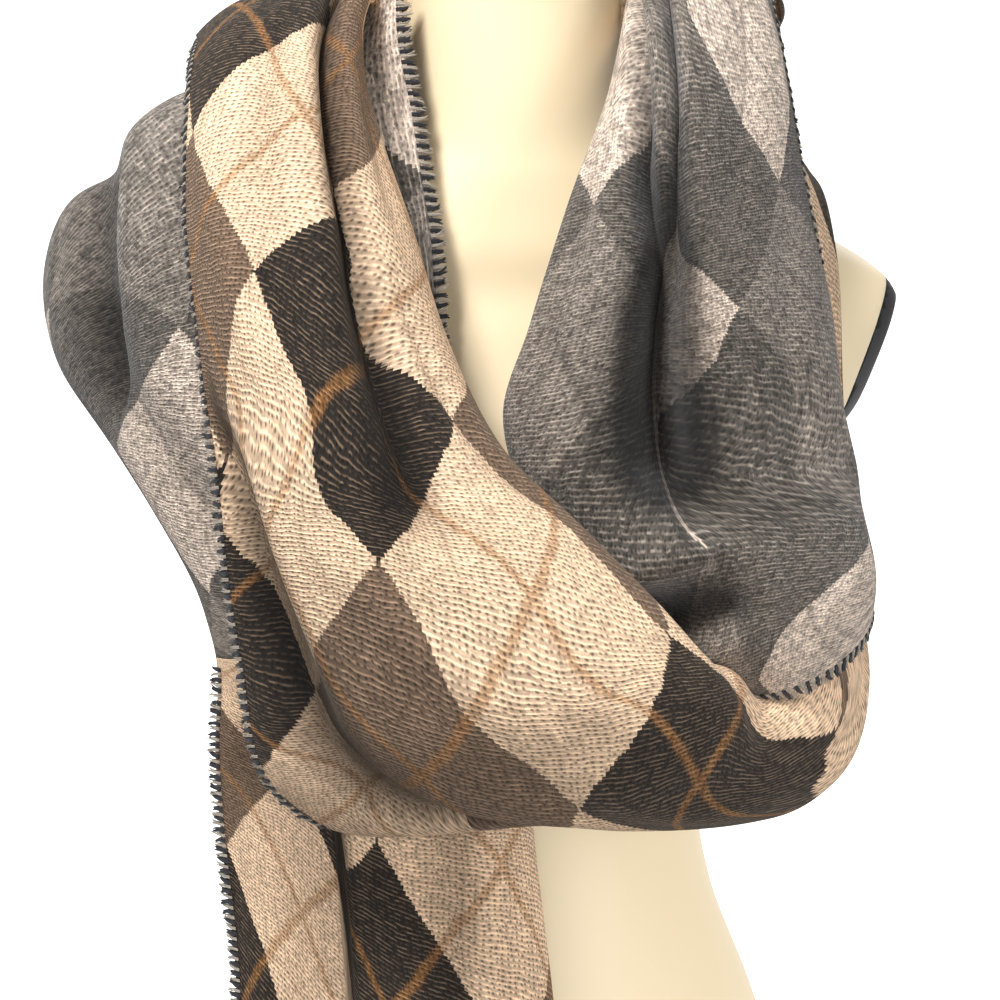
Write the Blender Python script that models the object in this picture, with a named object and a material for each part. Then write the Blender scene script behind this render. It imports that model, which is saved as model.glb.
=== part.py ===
"""A long fringed scarf wound round a limbless dress form that stands on its flat base.

The scarf is one cloth in two turns, and one table of sections follows it from end to end. It starts
at the hem of the right fall, goes up and round the neck, down the left side as the front swag, turns
the corner under the fall, climbs to the right shoulder, crosses the back, comes over the left shoulder
and hangs in front as the tail. Right and left are those of the picture. Each stretch of it is a wall
of the cloth's thickness. Sizes are in millimetres and the scene is in metres. +Z is up, the front
faces -Y.
"""

import math
from collections import namedtuple

import bmesh
import bpy
import numpy as np

MM = 0.001

# Driving sizes
CLOTH_WALL = 2.0
SEAM_GAP = 0.3
STRAND_PITCH = 6.6
STRAND_LENGTH = 8.0
STRIP_WIDTH = 1.6
STRIP_WALL = 1.8
TIP_SHARE = 0.3
FORM_SIDES = 30
STEPS_PER_RING = 2
PLATE_WALL = 8.0
PLATE_AT = 174.0
PLATE_HEIGHT = 528.0
PLATE_LEAN = math.radians(20.5)
SHOULDER_FROM = 470.0

# The dress form's level outlines, from its flat base to the top of the neck
Ring = namedtuple("Ring", "z half_width front back")
FORM_RINGS = [
    Ring(0, 143, 93, 103),
    Ring(4, 147, 96, 106),
    Ring(14, 150, 99, 109),
    Ring(45, 152, 101, 112),
    Ring(95, 152, 102, 112),
    Ring(175, 132, 96, 98),
    Ring(245, 106, 85, 81),
    Ring(300, 99, 82, 76),
    Ring(360, 114, 94, 84),
    Ring(425, 132, 111, 94),
    Ring(472, 149, 105, 97),
    Ring(500, 173, 98, 97),
    Ring(525, 188, 86, 95),
    Ring(550, 197, 75, 90),
    Ring(570, 190, 67, 84),
    Ring(590, 160, 64, 78),
    Ring(608, 118, 60, 72),
    Ring(625, 80, 57, 65),
    Ring(648, 60, 53, 58),
    Ring(695, 54, 50, 54),
    Ring(740, 53, 49, 53),
    Ring(760, 52, 48, 52),
    Ring(768, 49, 45, 49),
]

# Each section of the cloth passes through its inner, crest and outer points as part of an ellipse.
# The tucks are the degrees by which it turns under past its inner and its outer point.
Section = namedtuple("Section", "inner crest outer tuck_in tuck_out")
RIGHT_FALL_ROWS = [
    Section((106, -120, 387), (142, -154, 396), (176, -96, 418), 0, 0),
    Section((66, -120, 408), (128, -154, 430), (173, -92, 440), 0, 0),
    Section((14, -120, 468), (100, -150, 474), (165, -88, 476), 0, 0),
    Section((-6, -116, 516), (86, -148, 518), (157, -82, 518), -5, 0),
    Section((5, -108, 562), (86, -144, 566), (151, -74, 566), -10, -15),
    Section((22, -90, 610), (88, -126, 620), (143, -60, 612), -10, -25),
    Section((44, -60, 660), (92, -96, 676), (135, -42, 658), 0, -25),
    Section((56, -12, 704), (90, -38, 728), (129, -14, 704), 10, -20),
]
NECK_ROLL_ROWS = [
    Section((58, 40, 700), (100, 60, 722), (138, 42, 690), 10, -10),
    Section((38, 64, 692), (66, 112, 708), (100, 108, 644), 10, 0),
    Section((0, 70, 688), (0, 130, 698), (0, 138, 612), 10, 0),
    Section((-38, 64, 692), (-66, 114, 706), (-108, 114, 644), 10, 0),
]
FRONT_SWAG_ROWS = [
    Section((-62, 42, 700), (-102, 62, 719), (-160, 44, 680), 10, -10),
    Section((-72, -28, 707), (-102, -34, 721), (-165, -16, 678), 0, -20),
    Section((-72, -66, 666), (-108, -104, 688), (-166, -56, 652), 0, -30),
    Section((-50, -98, 608), (-104, -150, 622), (-160, -92, 602), 0, -30),
    Section((-32, -114, 553), (-90, -180, 566), (-154, -110, 543), 5, -30),
    Section((-8, -138, 508), (-68, -204, 502), (-152, -122, 474), 10, -30),
    Section((24, -156, 478), (-38, -216, 450), (-152, -128, 408), 12, -30),
    Section((54, -164, 446), (-4, -220, 406), (-144, -132, 350), 12, -25),
    Section((80, -164, 412), (32, -212, 380), (-92, -134, 319), 12, -15),
    Section((100, -156, 394), (70, -198, 362), (10, -138, 327), 12, 5),
    Section((114, -129, 378), (114, -168, 350), (96, -126, 324), 0, 25),
    Section((134, -102, 382), (158, -122, 362), (148, -86, 332), 0, 20),
    Section((136, -86, 414), (171, -92, 398), (166, -58, 362), 0, 10),
]
RIGHT_RISE_ROWS = [
    Section((134, -80, 460), (161, -76, 452), (164, -46, 430), 0, 0),
    Section((124, -74, 515), (152, -64, 517), (161, -48, 505), 0, 0),
    Section((112, -68, 578), (140, -56, 590), (160, -43, 570), 0, 0),
    Section((100, -8, 636), (130, -8, 640), (157, -8, 606), 0, 0),
]
BACK_DRAPE_ROWS = [
    Section((96, 42, 634), (133, 54, 630), (160, 58, 588), 0, 0),
    Section((84, 74, 632), (136, 96, 602), (158, 96, 515), 0, 0),
    Section((46, 92, 628), (90, 128, 568), (112, 128, 468), 0, 0),
    Section((0, 96, 624), (0, 142, 554), (0, 140, 440), 0, 0),
    Section((-46, 94, 628), (-94, 134, 566), (-122, 130, 466), 0, 0),
    Section((-90, 76, 630), (-158, 98, 606), (-204, 86, 508), 0, 0),
]
LEFT_DRAPE_ROWS = [
    Section((-104, 30, 638), (-186, 38, 640), (-236, 34, 538), 0, 0),
    Section((-104, -20, 638), (-188, -14, 648), (-237, -4, 548), 0, 0),
    Section((-100, -64, 600), (-180, -62, 604), (-228, -26, 526), 0, 0),
    Section((-90, -88, 545), (-158, -90, 548), (-204, -46, 496), 0, 0),
    Section((-70, -102, 490), (-132, -104, 490), (-178, -66, 462), 0, 0),
    Section((-36, -109, 450), (-100, -112, 446), (-155, -82, 424), 0, 0),
]
TAIL_ROWS = [
    Section((0, -112, 412), (-72, -118, 402), (-148, -96, 396), 0, -15),
    Section((6, -112, 360), (-70, -121, 352), (-151, -104, 350), 0, -20),
    Section((10, -112, 300), (-66, -124, 300), (-149, -106, 300), 0, -20),
    Section((18, -114, 230), (-62, -130, 230), (-143, -110, 230), 0, -20),
    Section((26, -122, 150), (-58, -138, 150), (-141, -118, 150), 0, -20),
    Section((30, -122, 64), (-54, -138, 64), (-143, -118, 64), 0, -20),
]
SCARF_ROWS = (
    RIGHT_FALL_ROWS
    + NECK_ROLL_ROWS
    + FRONT_SWAG_ROWS
    + RIGHT_RISE_ROWS
    + BACK_DRAPE_ROWS
    + LEFT_DRAPE_ROWS
    + TAIL_ROWS
)
# The strip of the scarf's inner edge that stands up between the swag and the neck
COLLAR_ROWS = [
    Section((-53, -34, 714), (-67, -26, 709), (-83, -4, 687), -35, 0),
    Section((-51, -42, 689), (-69, -38, 684), (-88, -20, 668), -35, 0),
    Section((-44, -52, 654), (-66, -53, 652), (-90, -40, 640), -35, 0),
    Section((-40, -64, 619), (-59, -67, 618), (-85, -64, 606), -35, 0),
    Section((-36, -76, 595), (-53, -80, 592), (-76, -82, 584), -35, 0),
    Section((-33, -97, 538), (-46, -101, 536), (-62, -101, 532), -35, 0),
]

# The rows at which one stretch of the scarf ends and the next starts
FALL_END = len(RIGHT_FALL_ROWS)
ROLL_END = FALL_END + len(NECK_ROLL_ROWS)
SWAG_END = ROLL_END + len(FRONT_SWAG_ROWS)
RISE_END = SWAG_END + len(RIGHT_RISE_ROWS)
BACK_END = RISE_END + len(BACK_DRAPE_ROWS)
DRAPE_END = BACK_END + len(LEFT_DRAPE_ROWS)
TAIL_END = len(SCARF_ROWS) - 1

# A fold is a trough, or a ridge where its depth is negative. It runs from one row to another, while its
# place across the cloth moves from a first share to a last one.
Fold = namedtuple("Fold", "from_row to_row from_share to_share depth width")
SCARF_FOLDS = [
    Fold(2.2, 7.4, 0.47, 0.46, 24, 0.085),
    Fold(3.4, 7.6, 0.27, 0.22, 8, 0.070),
    Fold(FALL_END, ROLL_END, 0.45, 0.50, 10, 0.090),
    Fold(ROLL_END, ROLL_END + 5.6, 0.37, 0.40, 12, 0.080),
    Fold(ROLL_END + 2.4, ROLL_END + 5.6, 0.38, 0.40, 6, 0.080),
    Fold(ROLL_END, ROLL_END + 4.0, 0.68, 0.68, 4, 0.090),
    Fold(ROLL_END + 4.0, ROLL_END + 8.6, 0.86, 0.80, 18, 0.075),
    Fold(ROLL_END + 4.6, ROLL_END + 7.0, 0.42, 0.50, 5, 0.060),
    Fold(SWAG_END, RISE_END, 0.45, 0.50, 5, 0.100),
    Fold(RISE_END + 0.5, BACK_END, 0.28, 0.34, 9, 0.090),
    Fold(RISE_END + 1.0, BACK_END + 0.5, 0.64, 0.60, 11, 0.090),
    Fold(BACK_END, DRAPE_END - 1.0, 0.62, 0.50, 12, 0.090),
    Fold(DRAPE_END - 0.5, TAIL_END + 1.0, 0.42, 0.40, 9, 0.070),
    Fold(DRAPE_END - 0.5, TAIL_END + 1.0, 0.78, 0.75, 7, 0.070),
]
FOLD_EASE = 0.9

# The stretches of cloth, each with its rows and how finely its wall is divided
Stretch = namedtuple("Stretch", "name first_row last_row steps columns")
STRETCHES = [
    Stretch("right_fall", 0, FALL_END, 19, 25),
    Stretch("neck_roll", FALL_END, ROLL_END, 9, 25),
    Stretch("shoulder_swag", ROLL_END, ROLL_END + 4, 10, 25),
    Stretch("front_swag", ROLL_END + 4, ROLL_END + 8, 11, 25),
    Stretch("corner_swag", ROLL_END + 8, SWAG_END, 12, 25),
    Stretch("right_rise", SWAG_END, RISE_END, 8, 13),
    Stretch("right_back_drape", RISE_END, RISE_END + 3, 8, 13),
    Stretch("left_back_drape", RISE_END + 3, BACK_END, 8, 13),
    Stretch("left_drape", BACK_END, DRAPE_END, 14, 13),
    Stretch("tail", DRAPE_END, TAIL_END, 10, 19),
]
COLLAR_STEPS = 13
COLLAR_COLUMNS = 5
ROW_STEP = 0.02
SHARE_STEP = 0.005


def between_rows(rows, places):
    """The rows' values at places given in row numbers, smoothly."""
    rows = np.asarray(rows, float)
    places = np.clip(places, 0, len(rows) - 1)
    index = np.minimum(places.astype(int), len(rows) - 2)
    local = (places - index)[:, None]
    before = rows[np.maximum(index - 1, 0)]
    start = rows[index]
    end = rows[index + 1]
    after = rows[np.minimum(index + 2, len(rows) - 1)]
    bend = 2 * before - 5 * start + 4 * end - after
    twist = 3 * start - before - 3 * end + after
    return 0.5 * (2 * start + (end - before) * local + bend * local**2 + twist * local**3)


def section_points(sections, places, shares):
    """The unfolded middle surface at row numbers and at shares of the way across."""
    rows = [[*s.inner, *s.crest, *s.outer, s.tuck_in, s.tuck_out] for s in sections]
    values = between_rows(rows, places)
    inner, crest, outer = values[:, 0:3], values[:, 3:6], values[:, 6:9]
    first = -np.radians(values[:, 9])[:, None]
    last = np.pi + np.radians(values[:, 10])[:, None]
    angle = (first + (last - first) * shares[None, :])[:, :, None]
    middle = ((inner + outer) / 2)[:, None, :]
    half = ((outer - inner) / 2)[:, None, :]
    rise = crest[:, None, :] - middle
    return middle - np.cos(angle) * half + np.sin(angle) * rise


def normals_of(surface, places, shares):
    """Unit normals of a surface function, towards the side its crests are on."""
    along = surface(places + ROW_STEP, shares) - surface(places - ROW_STEP, shares)
    across = surface(places, shares + SHARE_STEP) - surface(places, shares - SHARE_STEP)
    normal = np.cross(across, along)
    return normal / np.maximum(np.linalg.norm(normal, axis=2, keepdims=True), 1e-9)


def smooth_step(value):
    value = np.clip(value, 0, 1)
    return value * value * (3 - 2 * value)


def fold_depths(folds, places, shares):
    depths = np.zeros((len(places), len(shares)))
    for fold in folds:
        travel = np.clip((places - fold.from_row) / (fold.to_row - fold.from_row), 0, 1)
        centre = fold.from_share + (fold.to_share - fold.from_share) * travel
        fade_in = smooth_step((places - fold.from_row) / FOLD_EASE + 0.5)
        fade_out = smooth_step((fold.to_row - places) / FOLD_EASE + 0.5)
        across = np.exp(-(((shares[None, :] - centre[:, None]) / fold.width) ** 2))
        depths += fold.depth * (fade_in * fade_out)[:, None] * across
    return depths


def cloth_surface(sections, folds):
    """A function that gives the folded middle surface at row numbers and shares."""

    def plain(places, shares):
        return section_points(sections, places, shares)

    def folded(places, shares):
        places = np.clip(places, 0, len(sections) - 1)
        sunk = fold_depths(folds, places, shares)[:, :, None]
        return plain(places, shares) - normals_of(plain, places, shares) * sunk

    return folded


def wall_mesh(name, surface, places, shares):
    """A closed wall of the cloth's thickness about its middle surface."""
    points = surface(places, shares)
    offset = normals_of(surface, places, shares) * CLOTH_WALL / 2
    vertices = np.concatenate([(points + offset).reshape(-1, 3), (points - offset).reshape(-1, 3)])
    rows, columns = len(places), len(shares)
    count = rows * columns
    faces = []
    for row in range(rows - 1):
        for column in range(columns - 1):
            a = row * columns + column
            b, c, d = a + 1, a + columns + 1, a + columns
            faces.append((a, d, c, b))
            faces.append((count + a, count + b, count + c, count + d))
    rim = list(range(columns))
    rim += [row * columns + columns - 1 for row in range(1, rows)]
    rim += [(rows - 1) * columns + column for column in range(columns - 2, -1, -1)]
    rim += [row * columns for row in range(rows - 2, 0, -1)]
    for a, b in zip(rim, rim[1:] + rim[:1]):
        faces.append((a, b, count + b, count + a))
    return new_mesh(name, vertices, faces)


def new_mesh(name, vertices, faces):
    mesh = bpy.data.meshes.new(name)
    mesh.from_pydata([tuple(vertex) for vertex in np.asarray(vertices) * MM], [], faces)
    return mesh


def seam_shift(surface, place):
    """How far in rows a wall stops short of a seam, so that half of the seam's gap is left."""
    shares = np.linspace(0, 1, 9)
    here = surface(np.array([place + ROW_STEP]), shares)
    there = surface(np.array([place - ROW_STEP]), shares)
    speed = np.linalg.norm(here - there, axis=2).min() / (2 * ROW_STEP)
    return SEAM_GAP / 2 / speed


def fringe_mesh(name, near, far, normal):
    """A narrow strip along an edge with a pointed strand from every other outer face of it.

    near and far are the strip's two long edges, and normal is the way its thickness goes.
    """
    half = normal * STRIP_WALL / 2
    stations = len(near)
    vertices = np.stack([near + half, near - half, far - half, far + half], axis=1).reshape(-1, 3)
    outward = (far - near) / np.linalg.norm(far - near, axis=1, keepdims=True)
    tips = []
    faces = [(0, 1, 2, 3)]
    last = 4 * (stations - 1)
    faces.append((last + 3, last + 2, last + 1, last))
    for station in range(stations - 1):
        low = 4 * station
        high = low + 4
        for side in (0, 1, 3):
            over = (side + 1) % 4
            faces.append((low + side, high + side, high + over, low + over))
        root = (low + 2, high + 2, high + 3, low + 3)
        if station % 2:
            faces.append(root)
            continue
        middle = (far[station] + far[station + 1]) / 2
        reach = (outward[station] + outward[station + 1]) / 2 * STRAND_LENGTH
        start = len(vertices) + len(tips)
        for corner in root:
            tips.append(middle + reach + (vertices[corner] - middle) * TIP_SHARE)
        for side in range(4):
            over = (side + 1) % 4
            faces.append((root[side], root[over], start + over, start + side))
        faces.append((start, start + 1, start + 2, start + 3))
    return new_mesh(name, np.concatenate([vertices, tips]), faces)


def fringe_stations(line, first, last):
    """Places along a line of points, in point numbers, at even steps of half the strands' pitch."""
    numbers = np.arange(len(line))
    lengths = np.concatenate([[0], np.cumsum(np.linalg.norm(np.diff(line, axis=0), axis=1))])
    start, end = np.interp([first, last], numbers, lengths)
    strands = int((end - start) / STRAND_PITCH)
    return np.interp(np.linspace(start, end, 2 * strands), lengths, numbers)


def fringe_on(name, edge, beyond, normal, first, last):
    """A fringe outside an edge of a wall, from one point number of that edge to another."""
    stations = fringe_stations(edge, first, last)
    outward = beyond - edge
    outward /= np.linalg.norm(outward, axis=1, keepdims=True)
    low = np.minimum(stations.astype(int), len(edge) - 2)
    share = (stations - low)[:, None]
    edge, outward, normal = [row[low] * (1 - share) + row[low + 1] * share for row in (edge, outward, normal)]
    near = edge + outward * SEAM_GAP
    return fringe_mesh(name, near, near + outward * STRIP_WIDTH, normal)


def side_fringe(name, surface, places, share, first_row, last_row):
    """A fringe along the inner edge at share 0, or along the outer edge at share 1."""
    edge = np.array([share, share + (SHARE_STEP if share else -SHARE_STEP)])
    points = surface(places, edge)
    normals = normals_of(surface, places, edge)[:, 0]
    first, last = np.interp([first_row, last_row], places, np.arange(len(places)))
    return fringe_on(name, points[:, 0], points[:, 1], normals, first, last)


def hem_fringe(name, surface, row, inward, shares, first_share, last_share):
    """A fringe along a hem that lies across the cloth; inward is the way of the rows from it."""
    hem = np.array([row, row + inward * ROW_STEP])
    points = surface(hem, shares)
    normals = normals_of(surface, hem, shares)[0]
    first, last = np.interp([first_share, last_share], shares, np.arange(len(shares)))
    return fringe_on(name, points[0], 2 * points[0] - points[1], normals, first, last)


def form_mesh(name):
    places = np.linspace(0, len(FORM_RINGS) - 1, (len(FORM_RINGS) - 1) * STEPS_PER_RING + 1)
    rings = between_rows([list(ring) for ring in FORM_RINGS], places)
    vertices = []
    for z, half_width, front, back in rings:
        for side in range(FORM_SIDES):
            turn = 2 * math.pi * side / FORM_SIDES
            depth = back if math.sin(turn) > 0 else front
            vertices.append((half_width * math.cos(turn), depth * math.sin(turn), z))
    faces = []
    for level in range(len(rings) - 1):
        low = level * FORM_SIDES
        high = low + FORM_SIDES
        for side in range(FORM_SIDES):
            over = (side + 1) % FORM_SIDES
            faces.append((low + side, low + over, high + over, high + side))
    top = (len(rings) - 1) * FORM_SIDES
    faces.append(tuple(reversed(range(FORM_SIDES))))
    faces.append(tuple(range(top, top + FORM_SIDES)))
    return new_mesh(name, vertices, faces)


def cut_shoulder(work, side, distance, keep_inner):
    """Cuts one shoulder at a plane parallel to its arm plate and closes the cut."""
    normal = (side * math.cos(PLATE_LEAN), 0, -math.sin(PLATE_LEAN))
    start = (side * PLATE_AT, 0, PLATE_HEIGHT)
    point = tuple((start[axis] + normal[axis] * distance) * MM for axis in range(3))
    upper = [face for face in work.faces if lowest(face) > SHOULDER_FROM * MM]
    edges = {edge for face in upper for edge in face.edges}
    corners = {corner for face in upper for corner in face.verts}
    cut = bmesh.ops.bisect_plane(
        work,
        geom=upper + sorted(edges, key=by_index) + sorted(corners, key=by_index),
        plane_co=point,
        plane_no=normal,
        clear_outer=keep_inner,
        clear_inner=not keep_inner,
    )
    rim = [part for part in cut["geom_cut"] if isinstance(part, bmesh.types.BMEdge)]
    bmesh.ops.edgeloop_fill(work, edges=rim)
    work.verts.index_update()
    work.edges.index_update()


def by_index(part):
    return part.index


def lowest(face):
    return min(corner.co.z for corner in face.verts)


def make_form(skin, plate_black):
    body = form_mesh("dress_form")
    body_work = bmesh.new()
    body_work.from_mesh(body)
    for side, name in ((1, "right_arm_plate"), (-1, "left_arm_plate")):
        plate = form_mesh(name)
        plate_work = bmesh.new()
        plate_work.from_mesh(plate)
        below = [face for face in plate_work.faces if lowest(face) <= SHOULDER_FROM * MM]
        bmesh.ops.delete(plate_work, geom=below, context="FACES")
        cut_shoulder(plate_work, side, SEAM_GAP, False)
        cut_shoulder(plate_work, side, SEAM_GAP + PLATE_WALL, True)
        plate_work.to_mesh(plate)
        plate_work.free()
        cut_shoulder(body_work, side, 0, True)
        place(name, plate, plate_black)
    body_work.to_mesh(body)
    body_work.free()
    place("dress_form", body, skin)


def wall_places(surface, stretch):
    """The row numbers of a stretch's steps, short of its seams by half of the seam's gap."""
    first = stretch.first_row
    last = stretch.last_row
    if first > 0:
        first += seam_shift(surface, first)
    if last < TAIL_END:
        last -= seam_shift(surface, last)
    return np.linspace(first, last, stretch.steps)


def make_scarf(wools, yarn):
    scarf = cloth_surface(SCARF_ROWS, SCARF_FOLDS)
    places = {}
    shares = {}
    for stretch in STRETCHES:
        places[stretch.name] = wall_places(scarf, stretch)
        shares[stretch.name] = np.linspace(0, 1, stretch.columns)
        mesh = wall_mesh(stretch.name, scarf, places[stretch.name], shares[stretch.name])
        place(stretch.name, mesh, wools[stretch.name])
    swag_places = np.concatenate([places["shoulder_swag"], places["front_swag"]])
    fringes = [
        side_fringe("swag_fringe", scarf, swag_places, 1, ROLL_END + 1, ROLL_END + 7.8),
        side_fringe("fall_side_fringe", scarf, places["right_fall"], 1, 4.4, 7.2),
        side_fringe("tail_side_fringe", scarf, places["tail"], 1, DRAPE_END, TAIL_END),
        hem_fringe("fall_hem_fringe", scarf, 0, 1, shares["right_fall"], 0.2, 1),
        hem_fringe("tail_hem_fringe", scarf, TAIL_END, -1, shares["tail"], 0, 1),
    ]
    for fringe in fringes:
        place(fringe.name, fringe, yarn)


def make_collar(wool, yarn):
    collar = cloth_surface(COLLAR_ROWS, [])
    places = np.linspace(0, len(COLLAR_ROWS) - 1, COLLAR_STEPS)
    shares = np.linspace(0, 1, COLLAR_COLUMNS)
    place("inner_collar", wall_mesh("inner_collar", collar, places, shares), wool)
    fringe = side_fringe("collar_fringe", collar, places, 0, 0, len(COLLAR_ROWS) - 1)
    place("collar_fringe", fringe, yarn)


def new_material(name, colour, roughness):
    material = bpy.data.materials.new(name)
    material.use_nodes = True
    shader = material.node_tree.nodes["Principled BSDF"]
    shader.inputs["Base Color"].default_value = (*colour, 1)
    shader.inputs["Roughness"].default_value = roughness
    shader.inputs["Metallic"].default_value = 0.0
    return material


def place(name, mesh, material):
    work = bmesh.new()
    work.from_mesh(mesh)
    bmesh.ops.recalc_face_normals(work, faces=work.faces)
    work.to_mesh(mesh)
    work.free()
    mesh.materials.append(material)
    mesh.shade_smooth()
    thing = bpy.data.objects.new(name, mesh)
    bpy.context.scene.collection.objects.link(thing)


def main():
    for thing in list(bpy.data.objects):
        bpy.data.objects.remove(thing)
    make_form(
        new_material("form_cream", (0.86, 0.73, 0.50), 0.55),
        new_material("plate_black", (0.01, 0.01, 0.01), 0.45),
    )
    face_wool = new_material("face_wool", (0.55, 0.40, 0.30), 0.95)
    reverse_wool = new_material("reverse_wool", (0.10, 0.085, 0.075), 0.95)
    fringe_yarn = new_material("fringe_yarn", (0.03, 0.03, 0.035), 0.9)
    wools = {stretch.name: face_wool for stretch in STRETCHES}
    wools["right_fall"] = reverse_wool
    wools["left_drape"] = reverse_wool
    make_scarf(wools, fringe_yarn)
    make_collar(reverse_wool, fringe_yarn)


main()
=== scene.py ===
import math
import random
import bmesh
import bpy
import numpy as np
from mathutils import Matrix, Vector


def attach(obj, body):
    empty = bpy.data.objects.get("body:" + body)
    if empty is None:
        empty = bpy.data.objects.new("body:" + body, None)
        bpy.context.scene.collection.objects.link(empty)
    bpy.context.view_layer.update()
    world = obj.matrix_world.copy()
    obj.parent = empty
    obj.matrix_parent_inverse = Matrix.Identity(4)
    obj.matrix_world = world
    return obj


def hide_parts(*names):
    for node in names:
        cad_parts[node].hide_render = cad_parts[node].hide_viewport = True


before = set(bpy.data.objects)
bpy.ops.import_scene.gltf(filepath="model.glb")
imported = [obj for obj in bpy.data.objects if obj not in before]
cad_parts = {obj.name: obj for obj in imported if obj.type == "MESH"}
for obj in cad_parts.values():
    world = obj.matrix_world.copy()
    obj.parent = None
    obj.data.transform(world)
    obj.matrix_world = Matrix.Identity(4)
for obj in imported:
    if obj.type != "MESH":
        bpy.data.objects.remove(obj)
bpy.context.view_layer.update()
print("frame loaded")

mm = 0.001
rng = random.Random(7)
rowNudge, shareNudge = 0.02, 0.005  # small steps along and across, for slopes

# The scarf's sections in mm, one row for each: inner point, crest, outer point, and the degrees by which
# its inner and its outer edge are tucked under
scarfRows = [
    # the fall at the right, from its hem up to the shoulder
    ((106, -112, 388), (142, -141, 396), (174, -88, 418), 0, 0),
    ((66, -120, 408), (128, -154, 430), (173, -92, 440), 0, 0),
    ((14, -120, 468), (100, -150, 474), (165, -88, 476), 0, 0),
    ((-6, -116, 516), (86, -148, 518), (157, -82, 518), -5, 0),
    ((5, -108, 562), (86, -144, 566), (151, -74, 566), -10, -15),
    ((22, -90, 610), (88, -126, 620), (143, -60, 612), -10, -25),
    ((44, -60, 660), (92, -96, 676), (135, -42, 658), 0, -25),
    ((56, -12, 704), (90, -38, 728), (129, -14, 704), 10, -20),
    # the roll behind the neck
    ((58, 40, 700), (100, 60, 722), (138, 42, 690), 10, -10),
    ((38, 64, 692), (66, 112, 708), (100, 108, 644), 10, 0),
    ((0, 70, 688), (0, 130, 698), (0, 138, 612), 10, 0),
    ((-38, 64, 692), (-66, 114, 706), (-108, 114, 644), 10, 0),
    # the swag across the chest
    ((-62, 42, 700), (-102, 62, 719), (-160, 44, 680), 10, -10),
    ((-72, -28, 707), (-102, -34, 721), (-165, -16, 678), 0, -20),
    ((-72, -66, 666), (-108, -104, 688), (-166, -56, 652), 0, -30),
    ((-50, -98, 608), (-104, -150, 622), (-160, -92, 602), 0, -30),
    ((-32, -114, 553), (-90, -180, 566), (-154, -110, 543), 5, -30),
    ((-8, -138, 508), (-68, -204, 502), (-152, -122, 474), 10, -30),
    ((24, -156, 478), (-38, -216, 450), (-152, -128, 408), 12, -30),
    ((54, -164, 446), (-4, -220, 406), (-144, -132, 350), 12, -25),
    ((80, -165, 416), (32, -212, 380), (-92, -134, 319), 12, -15),
    ((102, -159, 404), (70, -198, 362), (10, -138, 327), 12, 5),
    ((117, -133, 386), (114, -168, 350), (96, -126, 324), 0, 25),
    ((138, -104, 414), (158, -122, 362), (148, -86, 332), 0, 20),
    ((138, -84, 442), (171, -92, 398), (166, -58, 362), 0, 10),
    # the rise to the right shoulder, under the fall
    ((134, -80, 460), (161, -76, 452), (164, -46, 430), 0, 0),
    ((124, -74, 515), (152, -64, 517), (161, -48, 505), 0, 0),
    ((112, -68, 578), (140, -56, 590), (160, -43, 570), 0, 0),
    ((100, -8, 636), (130, -8, 640), (157, -8, 606), 0, 0),
    # the drape across the back
    ((96, 42, 634), (133, 54, 630), (160, 58, 588), 0, 0),
    ((84, 74, 632), (136, 96, 602), (158, 96, 515), 0, 0),
    ((46, 92, 628), (90, 128, 568), (112, 128, 468), 0, 0),
    ((0, 96, 624), (0, 142, 554), (0, 140, 440), 0, 0),
    ((-46, 94, 628), (-94, 134, 566), (-122, 130, 466), 0, 0),
    ((-90, 76, 630), (-158, 98, 606), (-204, 86, 508), 0, 0),
    # the drape over the left shoulder
    ((-104, 30, 638), (-186, 38, 640), (-236, 34, 538), 0, 0),
    ((-104, -20, 638), (-188, -14, 648), (-237, -4, 548), 0, 0),
    ((-100, -64, 600), (-180, -62, 604), (-228, -26, 526), 0, 0),
    ((-90, -88, 545), (-158, -90, 548), (-204, -46, 496), 0, 0),
    ((-70, -102, 490), (-132, -104, 490), (-178, -66, 462), 0, 0),
    ((-36, -109, 450), (-100, -112, 446), (-155, -82, 424), 0, 0),
    # the tail under the swag
    ((0, -112, 412), (-72, -118, 402), (-148, -96, 396), 0, -15),
    ((6, -112, 360), (-70, -121, 352), (-151, -104, 350), 0, -20),
    ((10, -112, 300), (-66, -124, 300), (-149, -106, 300), 0, -20),
    ((18, -114, 230), (-62, -130, 230), (-143, -110, 230), 0, -20),
    ((26, -122, 150), (-58, -138, 150), (-141, -118, 150), 0, -20),
    ((30, -122, 64), (-54, -138, 64), (-143, -118, 64), 0, -20),
]
collarRows = [
    ((-53, -34, 714), (-67, -26, 709), (-83, -4, 687), -35, 0),
    ((-51, -42, 689), (-69, -38, 684), (-88, -20, 668), -35, 0),
    ((-44, -52, 654), (-66, -53, 652), (-90, -40, 640), -35, 0),
    ((-40, -64, 619), (-59, -67, 618), (-85, -64, 606), -35, 0),
    ((-36, -76, 595), (-53, -80, 592), (-76, -82, 584), -35, 0),
    ((-33, -97, 538), (-46, -101, 536), (-62, -101, 532), -35, 0),
]
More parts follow.
